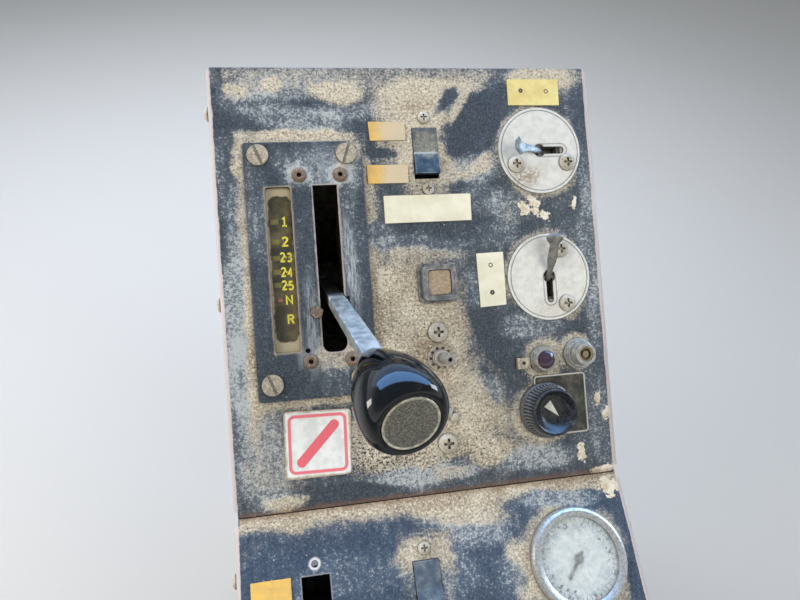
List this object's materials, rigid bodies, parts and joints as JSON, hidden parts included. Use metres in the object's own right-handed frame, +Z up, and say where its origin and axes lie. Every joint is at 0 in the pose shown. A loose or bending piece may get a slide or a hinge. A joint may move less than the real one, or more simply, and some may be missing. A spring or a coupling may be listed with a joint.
{
  "type": "fire truck cab centre control console",
  "caption": "Sheet steel cab console with sloping covers, a transmission range lever, air valve toggles, rocker switches, lamps, a lock and a gauge.",
  "frame": {"origin": "on the floor, midway between the four floor bolts", "axes": "+X to the right seen from the seats, +Y forward to the dash, +Z up"},
  "size_m": [0.2934, 0.4244, 0.5798],
  "materials": {
    "console_paint": "dark navy enamel, dusty and scratched",
    "selector_paint": "dark blue enamel, worn to metal at the slot",
    "mechanism_steel": "oily bare steel",
    "lever_steel": "worn bare steel bar",
    "zinc_screws": "zinc plated, dusty",
    "rusty_rivets": "zinc plated, rusted",
    "knob_plastic": "glossy black phenolic",
    "medallion_metal": "grey cast face with a bright rim",
    "black_plastic": "moulded black plastic",
    "valve_plate_metal": "clear anodised, stained",
    "valve_cast": "die cast",
    "chrome_trim": "plated, pitted",
    "lamp_amber": "dusty amber lens",
    "lamp_red": "ruby jewel",
    "brass_core": "worn brass",
    "label_laminate": "engraving laminate",
    "dial_face": "bleached printed dial",
    "dial_pointer": "black painted",
    "index_face": "dark strip with yellow marks",
    "glass_clear": "clear, dusty"
  },
  "bodies": {
    "console": {"side_wall_left": "console_paint", "side_wall_right": "console_paint", "end_wall": "console_paint", "seam_rail": "console_paint", "dash_rail": "console_paint", "upper_cover": "console_paint", "lower_cover": "console_paint", "cover_screws": "zinc_screws", "selector_plate": "selector_paint", "selector_housing": "mechanism_steel", "selector_quadrant": "mechanism_steel", "selector_pivot_pin": "mechanism_steel", "selector_index_strip": "index_face", "selector_plate_screws": "zinc_screws", "selector_rivets": "rusty_rivets", "selector_stop_bolt": "rusty_rivets", "fast_idle_switch_body": "black_plastic", "lower_switch_body": "black_plastic", "switch_screws": "zinc_screws", "axle_valve_plate": "valve_plate_metal", "axle_valve_body": "valve_cast", "brake_valve_plate": "valve_plate_metal", "brake_valve_body": "valve_cast", "valve_screws": "zinc_screws", "pilot_lamp_housing": "black_plastic", "pilot_lamp_lens": "lamp_amber", "dimmer_body": "zinc_screws", "dimmer_washer": "rusty_rivets", "push_lamp_body": "chrome_trim", "push_lamp_jewel": "lamp_red", "push_lamp_bracket": "zinc_screws", "key_lock_body": "chrome_trim", "key_lock_core": "brass_core", "rotary_control_body": "black_plastic", "rotary_label_plate": "black_plastic", "gauge_case": "chrome_trim", "gauge_dial": "dial_face", "gauge_pointer": "dial_pointer", "gauge_glass": "glass_clear", "label_plates": "label_laminate", "panel_screws": "zinc_screws"},
    "range_lever": {"selector_lever": "lever_steel", "selector_knob": "knob_plastic", "knob_medallion": "medallion_metal"},
    "axle_valve_toggle": {"axle_valve_lever": "lever_steel"},
    "brake_valve_toggle": {"brake_valve_lever": "lever_steel"},
    "fast_idle_key": {"fast_idle_rocker": "black_plastic"},
    "lower_key": {"lower_rocker": "black_plastic"},
    "rotary_control": {"rotary_knob": "black_plastic"},
    "bare_spindle": {"dimmer_spindle": "zinc_screws"}
  },
  "joints": [
    {"name": "range_lever_swing", "type": "hinge", "parent": "console", "child": "range_lever", "pos_m": [-0.0558, 0.18643, 0.41458], "axis": [-1, 0, 0], "range_deg": [-5.24, 23.26]},
    {"name": "axle_valve_flip", "type": "hinge", "parent": "console", "child": "axle_valve_toggle", "pos_m": [0.086, 0.17077, 0.54308], "axis": [0, 0.766, 0.6428], "range_deg": [0, 84]},
    {"name": "brake_valve_flip", "type": "hinge", "parent": "console", "child": "brake_valve_toggle", "pos_m": [0.0858, 0.10627, 0.48896], "axis": [1, 0, 0], "range_deg": [0, 84]},
    {"name": "fast_idle_rock", "type": "hinge", "parent": "console", "child": "fast_idle_key", "pos_m": [0.0083, 0.1727, 0.54078], "axis": [1, 0, 0], "range_deg": [0, 16]},
    {"name": "lower_rock", "type": "hinge", "parent": "console", "child": "lower_key", "pos_m": [-0.0136, -0.04476, 0.38251], "axis": [1, 0, 0], "range_deg": [0, 16]},
    {"name": "rotary_turn", "type": "hinge", "parent": "console", "child": "rotary_control", "pos_m": [0.0766, 0.0383, 0.43492], "axis": [0, 0.6428, -0.766], "range_deg": [-60, 210]},
    {"name": "spindle_turn", "type": "hinge", "parent": "console", "child": "bare_spindle", "pos_m": [0.0082, 0.06907, 0.4597], "axis": [0, 0.6428, -0.766], "range_deg": [-150, 150]}
  ]
}
